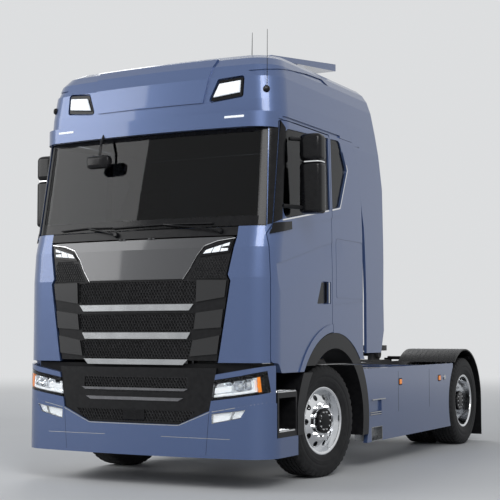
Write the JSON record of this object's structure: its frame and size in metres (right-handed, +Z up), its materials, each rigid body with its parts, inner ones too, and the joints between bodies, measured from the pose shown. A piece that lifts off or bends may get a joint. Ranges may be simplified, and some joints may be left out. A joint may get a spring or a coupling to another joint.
{
  "type": "semi truck tractor unit",
  "caption": "Road tractor unit with a high-roof sleeper cab that tilts, opening doors and grille hatch, steered front wheels, driven rear wheels and a fifth-wheel coupling.",
  "frame": {"origin": "on the ground, under the middle of the bounding box", "axes": "+Z up, -Y towards the truck's front, +X towards its left side"},
  "size_m": [3, 5.84, 3.96],
  "materials": {
    "paint": "metallic blue",
    "dark_paint": "dark grey satin",
    "black_plastic": "matte black",
    "silver_plastic": "silver",
    "frame_steel": "dark grey",
    "cast_iron": "cast",
    "alloy": "polished",
    "rubber": "matte",
    "clear": "tinted",
    "lamp": "clear lens over chrome",
    "cloth": "woven",
    "interior": "grained",
    "tank": "brushed"
  },
  "bodies": {
    "chassis": {"chassis_frame": "frame_steel", "front_axle": "cast_iron", "front_springs": "frame_steel", "rear_axle": "cast_iron", "rear_suspension": "frame_steel", "engine_block": "cast_iron", "radiator": "black_plastic", "side_tanks": "tank", "bumper": "paint", "headlamps": "lamp", "lower_grille": "black_plastic", "steps": "black_plastic", "lower_arches": "black_plastic", "side_skirts": "paint", "exhaust_outlet": "alloy", "rear_fenders": "black_plastic", "tail_bar": "black_plastic", "fifth_wheel_base": "frame_steel"},
    "cab": {"cab_floor": "interior", "cab_rear_wall": "paint", "cab_side_left": "paint", "cab_side_right": "paint", "cab_roof": "paint", "cab_corner_left": "paint", "cab_corner_right": "paint", "cab_cowl": "black_plastic", "windscreen": "clear", "quarter_windows": "clear", "sun_visor": "paint", "roof_lamps": "lamp", "upper_arches": "black_plastic", "side_deflectors": "paint", "roof_spoiler": "paint", "dashboard": "interior", "seats": "cloth", "bunk": "cloth"},
    "door_left": {"door_left": "paint", "door_glass_left": "clear", "mirror_left": "black_plastic"},
    "door_right": {"door_right": "paint", "door_glass_right": "clear", "mirror_right": "black_plastic"},
    "hatch": {"front_hatch": "dark_paint", "grille_mesh": "black_plastic", "grille_bars": "silver_plastic", "hatch_lamps": "lamp"},
    "steering_wheel": {"steering_wheel": "interior"},
    "knuckle_left": {"knuckle_left": "cast_iron"},
    "knuckle_right": {"knuckle_right": "cast_iron"},
    "tie_rod": {"tie_rod": "frame_steel"},
    "wheel_front_left": {"wheel_front_left": "alloy", "tyre_front_left": "rubber"},
    "wheel_front_right": {"wheel_front_right": "alloy", "tyre_front_right": "rubber"},
    "wheel_rear_left": {"wheel_rear_left": "alloy", "tyre_rear_left": "rubber"},
    "wheel_rear_right": {"wheel_rear_right": "alloy", "tyre_rear_right": "rubber"},
    "coupling_plate": {"fifth_wheel_plate": "cast_iron"}
  },
  "joints": [
    {"name": "cab_tilt", "type": "hinge", "parent": "chassis", "child": "cab", "pos_m": [0, -2.83, 0.93], "axis": [1, 0, 0], "range_deg": [0, 60]},
    {"name": "door_left_hinge", "type": "hinge", "parent": "cab", "child": "door_left", "pos_m": [1.205, -2.67194, 1.6], "axis": [0, 0, -1], "range_deg": [0, 75]},
    {"name": "door_right_hinge", "type": "hinge", "parent": "cab", "child": "door_right", "pos_m": [-1.205, -2.67194, 1.6], "axis": [0, 0, 1], "range_deg": [0, 75]},
    {"name": "hatch_hinge", "type": "hinge", "parent": "cab", "child": "hatch", "pos_m": [0, -2.865, 2.09242], "axis": [-1, 0, 0], "range_deg": [0, 85]},
    {"name": "steer_left", "type": "hinge", "parent": "chassis", "child": "knuckle_left", "pos_m": [0.89, -1.52, 0.502], "axis": [0, 0, 1], "range_deg": [-35.9, 54.1]},
    {"name": "steer_right", "type": "hinge", "parent": "chassis", "child": "knuckle_right", "pos_m": [-0.89, -1.52, 0.502], "axis": [0, 0, 1], "range_deg": [-35.9, 54.1]},
    {"name": "tie_rod_pin", "type": "hinge", "parent": "knuckle_left", "child": "tie_rod", "pos_m": [0.91372, -1.37189, 0.355], "axis": [0, 0, 1], "range_deg": [-54.1, 35.9]},
    {"name": "steering_wheel_turn", "type": "hinge", "parent": "cab", "child": "steering_wheel", "pos_m": [0.62, -2.18, 2.2], "axis": [0, 0.5736, 0.8192], "range_deg": [-719, 1083]},
    {"name": "coupling_tilt", "type": "hinge", "parent": "chassis", "child": "coupling_plate", "pos_m": [0, 1.65, 1.05], "axis": [1, 0, 0], "range_deg": [-12, 12]},
    {"name": "wheel_front_left_spin", "type": "hinge", "parent": "knuckle_left", "child": "wheel_front_left", "pos_m": [1.01836, -1.54056, 0.502], "axis": [0.9874, -0.1582, 0], "continuous": true},
    {"name": "wheel_rear_left_spin", "type": "hinge", "parent": "chassis", "child": "wheel_rear_left", "pos_m": [1.085, 2.23, 0.502], "axis": [1, 0, 0], "continuous": true},
    {"name": "wheel_front_right_spin", "type": "hinge", "parent": "knuckle_right", "child": "wheel_front_right", "pos_m": [-1.01836, -1.49944, 0.502], "axis": [0.9874, -0.1582, 0], "continuous": true},
    {"name": "wheel_rear_right_spin", "type": "hinge", "parent": "chassis", "child": "wheel_rear_right", "pos_m": [-1.085, 2.23, 0.502], "axis": [1, 0, 0], "continuous": true}
  ],
  "couplings": [
    {"joint": "steer_right", "follows": "steer_left", "ratio": 1},
    {"joint": "tie_rod_pin", "follows": "steer_left", "ratio": -1},
    {"joint": "steering_wheel_turn", "follows": "steer_left", "ratio": 20}
  ]
}
